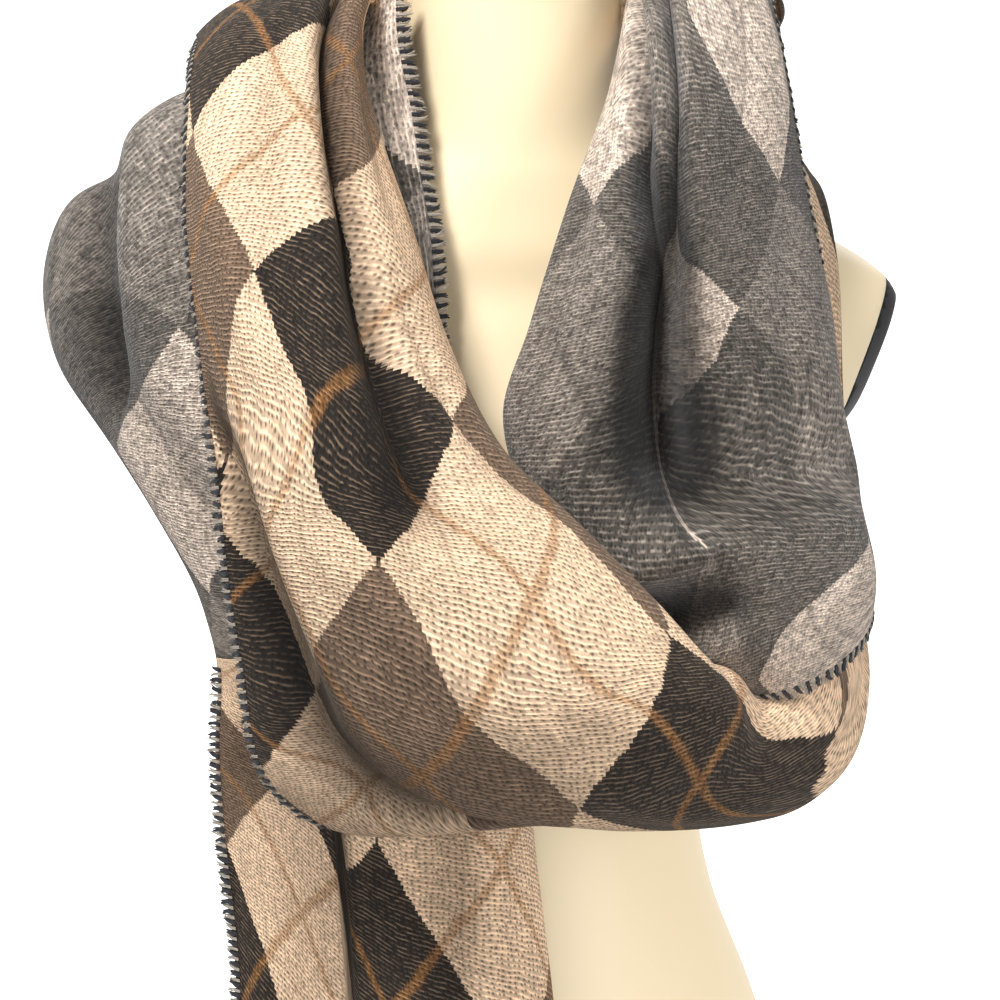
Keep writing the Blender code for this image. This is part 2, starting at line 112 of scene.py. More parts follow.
# The large folds: from row, to row, share across at each, depth in mm, width as a share
scarfFolds = [
    (2.2, 4.5, 0.405, 0.42, 34, 0.070),
    (4.5, 5.5, 0.43, 0.32, 18, 0.055),
    (5.5, 7.8, 0.32, 0.14, 12, 0.045),
    (4.5, 5.6, 0.49, 0.455, 13, 0.035),
    (5.6, 7.8, 0.455, 0.34, 10, 0.035),
    (8, 12, 0.45, 0.50, 10, 0.090),
    (12, 15.1, 0.41, 0.385, 15, 0.055),
    (15.1, 17.4, 0.385, 0.56, 15, 0.055),
    (12, 16, 0.68, 0.68, 4, 0.090),
    (16.6, 18.6, 0.94, 0.885, 17, 0.042),
    (18.6, 20.9, 0.885, 0.84, 17, 0.046),
    (25, 29, 0.45, 0.50, 5, 0.100),
    (29.5, 35, 0.28, 0.34, 9, 0.090),
    (30, 35.5, 0.64, 0.60, 11, 0.090),
    (35, 38, 0.56, 0.74, 12, 0.080),
    (38, 40.4, 0.74, 0.62, 7, 0.080),
    (40.5, 47, 0.42, 0.40, 9, 0.070),
    (40.5, 47, 0.78, 0.75, 7, 0.070),
]
# Cloth that a fold hides: from row, to row, share across at each, diamonds hidden across and along
hiddenCloth = [
    (12, 15.1, 0.42, 0.385, -0.6, 0.4),
    (15.1, 16.7, 0.385, 0.505, -0.6, 0.4),
    (16.4, 18.6, 0.955, 0.885, -0.3, 0.3),
    (18.6, 20.6, 0.885, 0.86, -0.3, 0.3),
    (2.1, 4.5, 0.40, 0.44, -1.35, 0),
    (4.5, 5.5, 0.44, 0.325, -0.9, 0),
    (5.5, 8, 0.325, 0.13, -0.9, 0),
    (4.5, 5.6, 0.49, 0.455, -0.5, 0),
    (5.6, 8, 0.455, 0.34, -0.5, 0),
    (41, 47, 0.65, 0.64, -0.1, 1.1),
]
cloth = {
    "wall": 1.7,  # mm, a brushed double cloth
    "foldEase": 0.9,  # rows in which a fold fades
    "steepSide": 0.17,  # share of its width that a crease has on its steep side
    "deepFold": 19,  # mm of fold depth from which the painted shade in a fold's bottom is at its darkest
    "deepPaintedShade": 0.45,  # the painted shade value that the third value of the pattern holds there
    "deepPaintedShadeTone": 0.14,  # share of its colour that the cloth keeps under that painted shade
    "hideWidth": 0.03,  # share across in which a fold takes in its hidden cloth
    "rowLength": 62,  # mm, about the way from one row to the next
    "width": 190,  # mm, about the width of cloth that shows
    "patternEase": 1500,  # how far the pattern may run past its known places to stay even
    "diamondAcross": 76,  # mm, half of a diamond across the scarf
    "diamondAlong": 98,  # mm, half of a diamond along it
    "weftPitch": 2.6,  # mm from one weft to the next
    "warpPitch": 3.7,  # mm from one hole to the next across
    "rakerWidth": 4.6,  # mm, the thin lines that cross the diamonds
}
# Where corners and centres of the woven diamonds lie: row, share across, diamonds across, diamonds along
diamondPlaces = [
    # the fall
    (0.1, 0.25, -1.0, -10.2),
    (0.3, 0.99, -2.4, -9.9),
    (0.96, 0.44, -1.3, -9.7),
    (1.14, 0.61, -1.6, -9.4),
    (1.4, 0.30, 0.6, -9.1),
    (2.1, 0.33, 0.8, -8.9),
    (1.39, 0.836, -2, -9),
    (1.6, 0.08, 1.4, -9.2),
    (2.90, 0.692, -1.5, -8.5),
    (3.40, 0.497, -0.5, -8.5),
    (3.77, 0.164, 2, -8),
    (4.17, 0.585, -1, -8),
    (4.3, 0.98, -2.35, -7.8),
    (4.85, 0.475, 0.1, -7.1),
    (5.10, 0.176, 2, -7),
    (5.13, 0.811, -2, -7),
    (5.47, 0.29, 1.55, -6.55),
    (5.96, 0.623, -1.25, -6.25),
    (6.15, 0.031, 2, -6),
    (6.36, 0.327, 0.7, -6.35),
    (6.42, 0.491, -1, -6),
    (8.0, 0.50, -0.9, -4.9),
    (10.0, 0.20, 0.8, -3.6),
    (10.0, 0.80, -1.6, -3.6),
    # the swag
    (13.81, 0.654, -1.5, -1.5),
    (13.96, 0.478, -1.15, -1.85),
    (14.41, 0.528, -1, -1),
    (14.46, 0.96, -2, -1),
    (15.36, 0.730, -1, 0),
    (15.06, 0.434, -0.6, -0.4),
    (16.37, 0.673, -0.5, 0.5),
    (16.22, 0.545, -0.03, 0.03),
    (16.82, 0.987, -2, 1),
    (17.47, 0.667, 0, 1),
    (17.17, 0.660, -0.2, 0.8),
    (14.71, 0.327, 0, -1),
    (14.56, 0.182, 0.5, -1.5),
    (15.41, 0.045, 1, -1),
    (15.76, 0.321, 0.65, -0.65),
    (16.17, 0.430, 0.55, -0.45),
    (16.52, 0.283, 1, 0),
    (17.27, 0.528, 0.5, 0.5),
    (18.17, 0.453, 1, 1),
    (18.98, 0.667, 0.5, 1.5),
    (19.78, 0.820, 0, 2),
    (17.97, 0.860, -0.6, 1.6),
    (18.47, 0.935, -1.1, 2),
    (19.08, 0.981, -2, 3),
    (19.68, 0.945, -1.3, 3.7),
    (19.08, 0.673, 0.55, 1.55),
    (20.28, 0.648, 0.9, 1.9),
    (20.98, 0.717, 1, 2),
    (19.28, 0.289, 2, 1),
    (19.68, 0.428, 1.5, 1.5),
    (20.98, 0.44, 2, 2),
    (22.0, 0.56, 2.45, 2.45),
    (21.95, 0.20, 2.6, 1.6),
    (22.49, 0.30, 2.8, 1.85),
    (22.79, 0.434, 3, 2),
    (23.04, 0.13, 3.2, 1.5),
    (23.7, 0.10, 3.2, 2.3),
    (24.3, 0.50, 3.0, 3.0),
    (24.0, 0.90, 2.6, 2.8),
    # round the back
    (25.0, 0.50, 3, 3.7),
    (27.0, 0.20, 3.6, 5),
    (27.0, 0.80, 2.4, 5),
    (29.0, 0.50, 2.6, 6.0),
    (30.5, 0.50, 2.1, 6.8),
    (32.0, 0.20, 2.6, 7.6),
    (32.0, 0.80, 0.6, 7.6),
    (34.0, 0.50, 1.2, 8.8),
    (35.0, 0.50, 0.7, 9.4),
    # the drape
    (36.0, 0.50, 0.3, 9.8),
    (36.2, 0.97, -1.1, 9.5),
    (35.0, 0.97, -1.0, 8.9),
    (37.32, 0.629, -0.6, 10.4),
    (37.83, 0.491, 0, 11),
    (38.24, 0.906, -1, 12),
    (38.82, 0.723, 0, 12),
    (40.10, 0.868, 0, 13),
    # the tail
    (42.43, 0.830, -1.4, 16.4),
    (42.97, 0.985, -2, 17),
    (43.66, 0.849, -1.5, 17.5),
    (43.16, 0.704, -0.65, 16.65),
    (43.24, 0.625, -0.3, 15.3),
    (42.85, 0.579, 0, 15),
    (42.99, 0.245, 1, 15),
    (43.66, 0.459, 0.5, 15.5),
    (43.76, 0.02, 1.6, 15.4),
    (45.6, 0.55, 0.1, 17),
]


def betweenRows(rows, places):
    # Catmull-Rom through the rows
    rows = np.asarray(rows, float)
    places = np.clip(places, 0, len(rows) - 1)
    index = np.minimum(places.astype(int), len(rows) - 2)
    local = (places - index)[:, None]
    before, start = rows[np.maximum(index - 1, 0)], rows[index]
    end, after = rows[index + 1], rows[np.minimum(index + 2, len(rows) - 1)]
    bend = 2 * before - 5 * start + 4 * end - after
    twist = 3 * start - before - 3 * end + after
    return 0.5 * (2 * start + (end - before) * local + bend * local**2 + twist * local**3)


def plainSurface(rows, places, shares):
    values = betweenRows([[*r[0], *r[1], *r[2], r[3], r[4]] for r in rows], places)
    inner, crest, outer = values[:, 0:3], values[:, 3:6], values[:, 6:9]
    first = -np.radians(values[:, 9])[:, None]
    last = np.pi + np.radians(values[:, 10])[:, None]
    angle = (first + (last - first) * shares[None, :])[:, :, None]
    middle = ((inner + outer) / 2)[:, None, :]
    half = ((outer - inner) / 2)[:, None, :]
    return middle - np.cos(angle) * half + np.sin(angle) * (crest[:, None, :] - middle)


def normalsOf(surface, places, shares):
    along = surface(places + rowNudge, shares) - surface(places - rowNudge, shares)
    across = surface(places, shares + shareNudge) - surface(places, shares - shareNudge)
    normal = np.cross(across, along)
    return normal / np.maximum(np.linalg.norm(normal, axis=2, keepdims=True), 1e-9)


def smoothStep(value):
    value = np.clip(value, 0, 1)
    return value * value * (3 - 2 * value)


def foldCourse(fromRow, toRow, fromShare, toShare, places, shares):
    # how far across each place lies from a fold's line, and how strong the fold is in that row
    travel = np.clip((places - fromRow) / (toRow - fromRow), 0, 1)
    aside = shares[None, :] - (fromShare + (toShare - fromShare) * travel)[:, None]
    fade = smoothStep((places - fromRow) / cloth["foldEase"] + 0.5)
    fade = fade * smoothStep((toRow - places) / cloth["foldEase"] + 0.5)
    return aside, fade[:, None]


def foldDepths(folds, places, shares):
    depths = np.zeros((len(places), len(shares)))
    for *course, depth, width in folds:
        aside, fade = foldCourse(*course, places, shares)
        depths += depth * fade * np.exp(-((aside / width) ** 2))
    return depths


def clothSurface(rows, folds, creases=()):
    # the middle of the cloth at row numbers and shares, with its folds and its finer creases
    def plain(places, shares):
        return plainSurface(rows, places, shares)

    def creased(places, shares):
        places = np.clip(places, 0, len(rows) - 1)
        sunk = foldDepths(folds, places, shares) + creaseDepths(creases, places, shares)
        return plain(places, shares) - normalsOf(plain, places, shares) * sunk[:, :, None]

    return creased


# Finer creases: start row and share, end row and share, depth in mm (a ridge below zero), width in mm,
# and the steep side: 1 towards the outer edge, -1 towards the inner edge
creaseLines = [
    (15.6, 0.30, 17.9, 0.20, 3.0, 7, 0),
    (16.9, 0.58, 18.4, 0.66, 2.6, 8, 0),
    (17.2, 0.74, 19.6, 0.62, -2.2, 11, 0),
    (17.9, 0.36, 20.4, 0.24, 2.0, 10, 0),
    (18.6, 0.50, 21.6, 0.44, -1.6, 14, 0),
    (19.6, 0.70, 22.2, 0.56, 2.2, 10, 0),
    (20.2, 0.16, 22.6, 0.30, 2.4, 8, 0),
    (21.0, 0.88, 22.8, 0.70, -1.8, 9, 0),
    (13.0, 0.56, 15.2, 0.60, 2.4, 9, 0),
    (13.2, 0.16, 15.4, 0.14, 2.2, 7, 0),
    (14.2, 0.84, 16.4, 0.80, -1.8, 10, 0),
    (22.4, 0.40, 24.6, 0.52, 3.0, 8, 0),
    (22.8, 0.20, 24.4, 0.26, 2.4, 7, 0),
    (0.4, 0.50, 2.6, 0.62, 2.2, 10, 0),
    (1.60, 0.10, 1.80, 0.46, -9.0, 9, 0),
    (1.24, 0.02, 1.22, 0.46, 17.0, 15, 0),
    (2.6, 0.70, 5.2, 0.78, 2.0, 11, 0),
    (3.2, 0.14, 5.6, 0.10, 2.4, 9, 0),
    (4.6, 0.64, 7.0, 0.66, 2.6, 9, 0),
    (5.4, 0.84, 7.6, 0.80, -1.6, 8, 0),
    (2.0, 0.90, 4.0, 0.86, -1.8, 9, 0),
    (8.2, 0.24, 11.4, 0.20, 3.0, 8, 0),
    (8.0, 0.70, 10.2, 0.78, 3.4, 10, 0),
    (9.8, 0.62, 12.2, 0.70, 2.8, 9, 0),
    (9.2, 0.36, 11.0, 0.30, -2.2, 9, 0),
    (25.4, 0.70, 28.6, 0.66, 2.0, 8, 0),
    (26.2, 0.22, 28.8, 0.28, 1.8, 7, 0),
    (30.2, 0.14, 33.4, 0.20, 3.2, 12, 0),
    (31.0, 0.46, 34.6, 0.42, 2.6, 12, 0),
    (30.4, 0.80, 33.0, 0.86, 3.0, 10, 0),
    (32.4, 0.74, 35.0, 0.70, -2.6, 12, 0),
    (33.0, 0.92, 35.6, 0.84, 2.4, 9, 0),
    (35.4, 0.30, 38.0, 0.40, 2.6, 11, 0),
    (36.0, 0.78, 38.4, 0.86, 2.4, 10, 0),
    (37.0, 0.20, 39.8, 0.30, 2.0, 10, 0),
    (38.2, 0.62, 40.6, 0.56, 2.8, 10, 0),
    (35.8, 0.50, 37.4, 0.52, -2.4, 12, 0),
    (41.4, 0.20, 44.8, 0.22, 2.2, 9, 0),
    (42.0, 0.58, 46.0, 0.60, 2.4, 9, 0),
    (41.6, 0.92, 44.4, 0.90, 2.4, 7, 0),
    (43.2, 0.32, 46.0, 0.30, -2.0, 10, 0),
    (44.0, 0.70, 46.0, 0.68, 1.8, 8, 0),
    # cloth lying over cloth: steep on one side
    (2.5, 0.455, 4.7, 0.485, 8.0, 13, 1),
    (36.2, 0.54, 37.5, 0.65, 6.0, 22, -1),
    (37.3, 0.64, 38.3, 0.86, 5.0, 20, -1),
    (41.6, 0.655, 46.0, 0.625, 5.5, 20, -1),
]


def acrossInMillimetres(places, shares):
    # measured from the middle of the cloth, before its folds
    points = plainSurface(scarfRows, places, shares)
    across = np.cumsum(np.linalg.norm(np.diff(points, axis=1), axis=2), axis=1)
    across = np.concatenate([np.zeros((len(places), 1)), across], axis=1)
    return across - across[:, len(shares) // 2:len(shares) // 2 + 1]


rulerSteps = 10  # for each row
rulerRows = np.linspace(0, len(scarfRows) - 1, (len(scarfRows) - 1) * rulerSteps + 1)
rulerShares = np.linspace(0, 1, 41)
rulerMiddle = plainSurface(scarfRows, rulerRows, np.array([0.5]))[:, 0]
rulerAlong = np.concatenate([[0], np.cumsum(np.linalg.norm(np.diff(rulerMiddle, axis=0), axis=1))])
rulerAcross = acrossInMillimetres(rulerRows, rulerShares)


def inMillimetres(places, shares):
    # how far along and across the cloth each place lies
    along = np.interp(places, rulerRows, rulerAlong)
    index = np.clip(places * rulerSteps, 0, len(rulerRows) - 1.001)
    low = index.astype(int)
    local = (index - low)[:, None]
    table = rulerAcross[low] * (1 - local) + rulerAcross[low + 1] * local
    across = np.array([np.interp(shares, rulerShares, line) for line in table])
    return np.repeat(along[:, None], len(shares), axis=1), across


def creaseDepths(creases, places, shares):
    depths = np.zeros((len(places), len(shares)))
    if not len(creases):
        return depths
    along, across = inMillimetres(places, shares)
    for fromRow, fromShare, toRow, toShare, depth, width, steep in creases:
        if toRow < places[0] - 1 or fromRow > places[-1] + 1:
            continue
        start = np.array(inMillimetres(np.array([fromRow]), np.array([fromShare])))[:, 0, 0]
        line = np.array(inMillimetres(np.array([toRow]), np.array([toShare])))[:, 0, 0] - start
        length = np.hypot(*line)
        travel = ((along - start[0]) * line[0] + (across - start[1]) * line[1]) / length**2
        aside = ((across - start[1]) * line[0] - (along - start[0]) * line[1]) / length
        if not steep:
            aside = aside + 0.05 * length * np.sin(3.1 * travel + depth)  # no soft crease is quite straight
        fade = smoothStep(travel * 3.2 + 0.3) * smoothStep((1 - travel) * 2.4 + 0.3)
        # a little narrower towards the outer edge, and narrowest on the steep side
        outerShare = cloth["steepSide"] if steep > 0 else 0.75
        innerShare = cloth["steepSide"] if steep < 0 else 1.25
        reach = np.where(aside > 0, width * outerShare, width * innerShare)
        depths += depth * fade * np.exp(-((aside / reach) ** 2))
    return depths


def hiddenAt(places, shares):
    # diamonds that lie hidden in the folds between the inner edge and each place
    hidden = np.zeros((len(places), len(shares), 2))
    for *course, across, along in hiddenCloth:
        aside, fade = foldCourse(*course, places, shares)
        beyond = smoothStep(aside / cloth["hideWidth"] + 0.5)
        hidden += (fade * beyond)[:, :, None] * np.array([across, along])
    return hidden


def diamondsAt(places, shares):
    # a thin plate through the diamonds' known places gives every other point its place in the pattern
    table = np.array(diamondPlaces)
    size = (cloth["rowLength"], cloth["width"])
    known = table[:, :2] * size
    values = table[:, 2:] - np.array([hiddenAt(row[:1], row[1:2])[0, 0] for row in table])

    def plate(a, b):
        square = ((a[:, None, :] - b[None, :, :]) ** 2).sum(2)
        return square * np.log(square + 1e-9) * 0.5

    count = len(known)
    sides = np.concatenate([np.ones((count, 1)), known], axis=1)
    system = np.zeros((count + 3, count + 3))
    system[:count, :count] = plate(known, known) + np.eye(count) * cloth["patternEase"]
    system[:count, count:] = sides
    system[count:, :count] = sides.T
    weights = np.linalg.solve(system, np.concatenate([values, np.zeros((3, 2))]))
    wanted = np.stack(np.meshgrid(places * size[0], shares * size[1], indexing="ij"), axis=2).reshape(-1, 2)
    out = plate(wanted, known) @ weights[:count] + weights[count] + wanted @ weights[count + 1:]
    return out.reshape(len(places), len(shares), 2) + hiddenAt(places, shares)


# Materials
def linearColour(code):
    parts = [int(code[i:i + 2], 16) / 255 for i in (1, 3, 5)]
    return tuple(c / 12.92 if c <= 0.04045 else ((c + 0.055) / 1.055) ** 2.4 for c in parts) + (1,)


def addNode(tree, kind, settings=None, values=None, links=None):
    node = tree.nodes.new(kind)
    for name, value in (settings or {}).items():
        setattr(node, name, value)
    for name, value in (values or {}).items():
        node.inputs[name].default_value = value
    for name, source in (links or {}).items():
        tree.links.new(source, node.inputs[name])
    return node


def newMaterial(name):
    material = bpy.data.materials.new(name)
    material.use_nodes = True
    tree = material.node_tree
    shader = tree.nodes["Principled BSDF"]
    return material, tree, shader


faceLook = {
    "charcoal": "#2b2521", "taupe": "#75604f", "ground": "#e6c6a6", "raker": "#a5723f", "rakerShare": 0.52,
    "gap": 0.72, "fleck": 0.20, "line": 0.40, "nap": 0.18, "sheen": 0.08, "sheenTint": "#fff0dc",
    "peek": "#c9a888", "peekShare": 0.24,
}
reverseLook = {
    "charcoal": "#d0beae", "taupe": "#7f766d", "ground": "#5d5750", "raker": "#4a4540", "rakerShare": 0.35,
    "gap": 0.58, "fleck": 0.45, "line": 0.34, "nap": 0.32, "sheen": 0.22, "sheenTint": "#eef0f4",
    "peek": "#bfae9d", "peekShare": 0.28,
}


def wovenWool(name, look):
    # Brushed double-woven wool and acrylic: a matt, hairy face whose weft lines and the dark holes
    # between them still show, with the argyle woven in so that its edges go in small steps.
    material, tree, shader = newMaterial(name)
    place = addNode(tree, "ShaderNodeAttribute", {"attribute_name": "diamonds"}).outputs["Vector"]
    yarn = addNode(tree, "ShaderNodeTexNoise", {"noise_dimensions": "2D"}, {"Scale": 5, "Detail": 2},
                   {"Vector": place})
    wobble = addNode(tree, "ShaderNodeVectorMath", {"operation": "MULTIPLY_ADD"},
                     {1: (0.05, 0.03, 0), 2: (-0.025, -0.015, 0)}, {0: yarn.outputs["Color"]})
    soft = addNode(tree, "ShaderNodeVectorMath", {"operation": "ADD"}, None,
                   {0: place, 1: wobble.outputs[0]}).outputs[0]
    # the colours change from one weft to the next, two wefts at a time
    stepSize = (cloth["warpPitch"] / 2 / cloth["diamondAcross"], cloth["weftPitch"] / 2 / cloth["diamondAlong"], 1)
    stepped = addNode(tree, "ShaderNodeVectorMath", {"operation": "SNAP"}, {1: stepSize}, {0: soft})
    turned = addNode(tree, "ShaderNodeMapping", None,
                     {"Location": (0.5, 0.5, 1.5), "Rotation": (0, 0, math.radians(45)),
                      "Scale": (0.70711, 0.70711, 1)}, {"Vector": stepped.outputs[0]})
    oneWay = addNode(tree, "ShaderNodeVectorMath", {"operation": "MULTIPLY_ADD"},
                     {1: (1, 0, 0), 2: (0, 0.5, 1.5)}, {0: turned.outputs[0]})
    dark = addNode(tree, "ShaderNodeTexChecker", None,
                   {"Scale": 1, "Color1": linearColour(look["charcoal"]), "Color2": linearColour(look["taupe"])},
                   {"Vector": oneWay.outputs[0]})
    argyle = addNode(tree, "ShaderNodeTexChecker", None, {"Scale": 1, "Color2": linearColour(look["ground"])},
                     {"Vector": turned.outputs[0], "Color1": dark.outputs["Color"]})
    # raker lines run through the diamonds' centres both ways
    ways = addNode(tree, "ShaderNodeSeparateXYZ", None, None, {0: turned.outputs[0]})
    reach = [addNode(tree, "ShaderNodeMath", {"operation": "PINGPONG"}, {1: 0.5}, {0: ways.outputs[axis]})
             for axis in (0, 1)]
    nearest = addNode(tree, "ShaderNodeMath", {"operation": "MAXIMUM"}, None,
                      {0: reach[0].outputs[0], 1: reach[1].outputs[0]})
    raker = addNode(tree, "ShaderNodeMapRange", {"interpolation_type": "SMOOTHSTEP"},
                    {"From Min": 0.5 - cloth["rakerWidth"] / 150, "From Max": 0.5 - cloth["rakerWidth"] / 400,
                     "To Min": 0, "To Max": look["rakerShare"]}, {"Value": nearest.outputs[0]})
    woven = addNode(tree, "ShaderNodeMix", {"data_type": "RGBA"}, {7: linearColour(look["raker"])},
                    {0: raker.outputs[0], 6: argyle.outputs["Color"]})
    # one small dark hole under each float of the weft, and the float itself light
    perDiamond = (cloth["diamondAcross"] / cloth["warpPitch"], cloth["diamondAlong"] / cloth["weftPitch"], 1)
    loops = addNode(tree, "ShaderNodeVectorMath", {"operation": "MULTIPLY"}, {1: perDiamond}, {0: soft})
    holes = addNode(tree, "ShaderNodeTexVoronoi", {"voronoi_dimensions": "2D"}, {"Scale": 1, "Randomness": 0.45},
                    {"Vector": loops.outputs[0]})
    depth = addNode(tree, "ShaderNodeMapRange", {"interpolation_type": "SMOOTHSTEP"},
                    {"From Min": 0.06, "From Max": 0.37, "To Min": 1 - look["gap"], "To Max": 1.05},
                    {"Value": holes.outputs["Distance"]})
    cell = addNode(tree, "ShaderNodeSeparateXYZ", None, None, {0: loops.outputs[0]})
    weftHeight = addNode(tree, "ShaderNodeMath", {"operation": "PINGPONG"}, {1: 0.5}, {0: cell.outputs[1]})
    line = addNode(tree, "ShaderNodeMapRange", {"interpolation_type": "SMOOTHSTEP"},
                   {"From Min": 0.02, "From Max": 0.34, "To Min": 1 + look["line"], "To Max": 1 - look["line"] / 2},
                   {"Value": weftHeight.outputs[0]})
    tone = addNode(tree, "ShaderNodeSeparateXYZ", None, None, {0: holes.outputs["Color"]})
    fleck = addNode(tree, "ShaderNodeMapRange", None,
                    {"From Min": 0, "From Max": 1, "To Min": 1 - look["fleck"], "To Max": 1 + look["fleck"]},
                    {"Value": tone.outputs[0]})
    hairs = addNode(tree, "ShaderNodeTexNoise", {"noise_dimensions": "2D"},
                    {"Scale": 42, "Detail": 4, "Roughness": 0.65, "Distortion": 0.6}, {"Vector": place})
    napTone = addNode(tree, "ShaderNodeMapRange", None,
                      {"From Min": 0.3, "From Max": 0.7, "To Min": 1 - look["nap"], "To Max": 1 + look["nap"]},
                      {"Value": hairs.outputs["Fac"]})
    cloud = addNode(tree, "ShaderNodeTexNoise", {"noise_dimensions": "2D"}, {"Scale": 3.5, "Detail": 3},
                    {"Vector": place})
    wornTone = addNode(tree, "ShaderNodeMapRange", None,
                       {"From Min": 0.3, "From Max": 0.7, "To Min": 0.92, "To Max": 1.08},
                       {"Value": cloud.outputs["Fac"]})
    # painted shade: the colour is darkened in the bottom of a fold, by how deep the fold is, where shadow falls
    sunk = addNode(tree, "ShaderNodeSeparateXYZ", None, None, {0: place})
    paintedShadeTone = addNode(tree, "ShaderNodeMapRange", None,
                       {"From Min": 0, "From Max": cloth["deepPaintedShade"], "To Min": 1, "To Max": cloth["deepPaintedShadeTone"]},
                       {"Value": sunk.outputs[2]})
    # the cloth's other yarn peeks out on the crests of the weft, which shows in the dark diamonds
    crest = addNode(tree, "ShaderNodeMapRange", {"interpolation_type": "SMOOTHSTEP"},
                    {"From Min": 0.03, "From Max": 0.28, "To Min": look["peekShare"], "To Max": 0},
                    {"Value": weftHeight.outputs[0]})
    patchy = addNode(tree, "ShaderNodeMath", {"operation": "MULTIPLY"}, None,
                     {0: crest.outputs[0], 1: tone.outputs[1]})
    both = addNode(tree, "ShaderNodeMix", {"data_type": "RGBA"}, {7: linearColour(look["peek"])},
                   {0: patchy.outputs[0], 6: woven.outputs[2]})
    shade = depth
    for other in (line, fleck, napTone, wornTone, paintedShadeTone):
        shade = addNode(tree, "ShaderNodeMath", {"operation": "MULTIPLY"}, None,
                        {0: shade.outputs[0], 1: other.outputs[0]})
    colour = addNode(tree, "ShaderNodeVectorMath", {"operation": "SCALE"}, None,
                     {0: both.outputs[2], "Scale": shade.outputs[0]})
    tree.links.new(colour.outputs[0], shader.inputs["Base Color"])
    relief = addNode(tree, "ShaderNodeBump", None, {"Strength": 0.6, "Distance": 0.0009},
                     {"Height": shade.outputs[0]})
    tree.links.new(relief.outputs[0], shader.inputs["Normal"])
    shader.inputs["Roughness"].default_value = 0.92
    shader.inputs["Specular IOR Level"].default_value = 0.2
    shader.inputs["Sheen Weight"].default_value = look["sheen"]
    shader.inputs["Sheen Roughness"].default_value = 0.5
    shader.inputs["Sheen Tint"].default_value = linearColour(look["sheenTint"])
    return material


faceWool = wovenWool("brushed woven wool, face", faceLook)
reverseWool = wovenWool("brushed woven wool, reverse", reverseLook)


def plainYarn(name, darkCode, lightCode):
    # Overcast acrylic yarn, loosely spun: matt with a soft fibre tone along it
    material, tree, shader = newMaterial(name)
    place = addNode(tree, "ShaderNodeTexCoord").outputs["Object"]
    fibre = addNode(tree, "ShaderNodeTexNoise", None, {"Scale": 1800, "Detail": 3}, {"Vector": place})
    tone = addNode(tree, "ShaderNodeMix", {"data_type": "RGBA"},
                   {6: linearColour(darkCode), 7: linearColour(lightCode)}, {0: fibre.outputs["Fac"]})
    tree.links.new(tone.outputs[2], shader.inputs["Base Color"])
    shader.inputs["Roughness"].default_value = 0.85
    shader.inputs["Sheen Weight"].default_value = 0.08
    return material


blackYarn = plainYarn("spun acrylic yarn, black", "#0c0d10", "#2b2c33")
paleYarn = plainYarn("spun acrylic yarn, pale grey", "#8b8276", "#c4b9ab")


def mouldedShell():
    # Glass-fibre shell under a satin cream enamel: smooth, with faint mottling from spraying
    material, tree, shader = newMaterial("satin enamel on glass fibre, cream")
    place = addNode(tree, "ShaderNodeTexCoord").outputs["Object"]
    cloud = addNode(tree, "ShaderNodeTexNoise", None, {"Scale": 9, "Detail": 4}, {"Vector": place})
    tint = addNode(tree, "ShaderNodeMix", {"data_type": "RGBA"},
                   {6: linearColour("#fbe8c3"), 7: linearColour("#f8e2b9")}, {0: cloud.outputs["Fac"]})
    tree.links.new(tint.outputs[2], shader.inputs["Base Color"])
    grain = addNode(tree, "ShaderNodeTexNoise", None, {"Scale": 900, "Detail": 2}, {"Vector": place})
    relief = addNode(tree, "ShaderNodeBump", None, {"Strength": 0.05, "Distance": 0.0003},
                     {"Height": grain.outputs["Fac"]})
    tree.links.new(relief.outputs[0], shader.inputs["Normal"])
    shader.inputs["Roughness"].default_value = 0.5
    shader.inputs["IOR"].default_value = 1.5
    return material


def blackPlastic():
    # Injection-moulded ABS, black, with a fine spark-eroded grain
    material, tree, shader = newMaterial("moulded ABS, black")
    place = addNode(tree, "ShaderNodeTexCoord").outputs["Object"]
    grain = addNode(tree, "ShaderNodeTexNoise", None, {"Scale": 1400, "Detail": 2}, {"Vector": place})
    relief = addNode(tree, "ShaderNodeBump", None, {"Strength": 0.2, "Distance": 0.0002},
                     {"Height": grain.outputs["Fac"]})
    tree.links.new(relief.outputs[0], shader.inputs["Normal"])
    tone = addNode(tree, "ShaderNodeMix", {"data_type": "RGBA"},
                   {6: linearColour("#0f0f10"), 7: linearColour("#1c1c1e")}, {0: grain.outputs["Fac"]})
    tree.links.new(tone.outputs[2], shader.inputs["Base Color"])
    shader.inputs["Roughness"].default_value = 0.65
    shader.inputs["Specular IOR Level"].default_value = 0.3
    return material


creamShell = mouldedShell()
blackPlate = blackPlastic()
print("materials made")


def addPiece(name, mesh, materials, nodes):
    for material in materials:
        mesh.materials.append(material)
    piece = bpy.data.objects.new(name, mesh)
    bpy.context.scene.collection.objects.link(piece)
    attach(piece, "root")
    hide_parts(*nodes)
    return piece


def softPiece(name, vertices, faces, materials, nodes):
    mesh = bpy.data.meshes.new(name)
    mesh.from_pydata([tuple(v) for v in vertices], [], faces)
    mesh.shade_smooth()
    return addPiece(name, mesh, materials, nodes)


def paintedFoldShade(folds, creases, places, shares):
    # painted shade for each place, from 0 on top: darker the deeper it lies in its folds, and a painted dark line
    # where a fold takes in hidden cloth
    # the painted shade reaches half as wide again as each fold
    broad = [(*fold[:5], fold[5] * 1.5) for fold in folds]
    depths = foldDepths(broad, places, shares) + creaseDepths(creases, places, shares)
    shade = smoothStep(depths / cloth["deepFold"])
    # a painted dark line along each fold that takes in hidden cloth
    for *course, across, along in hiddenCloth:
        aside, fade = foldCourse(*course, places, shares)
        shade = np.maximum(shade, np.sqrt(fade) * np.exp(-((aside / 0.02) ** 2)))
    return cloth["deepPaintedShade"] * shade


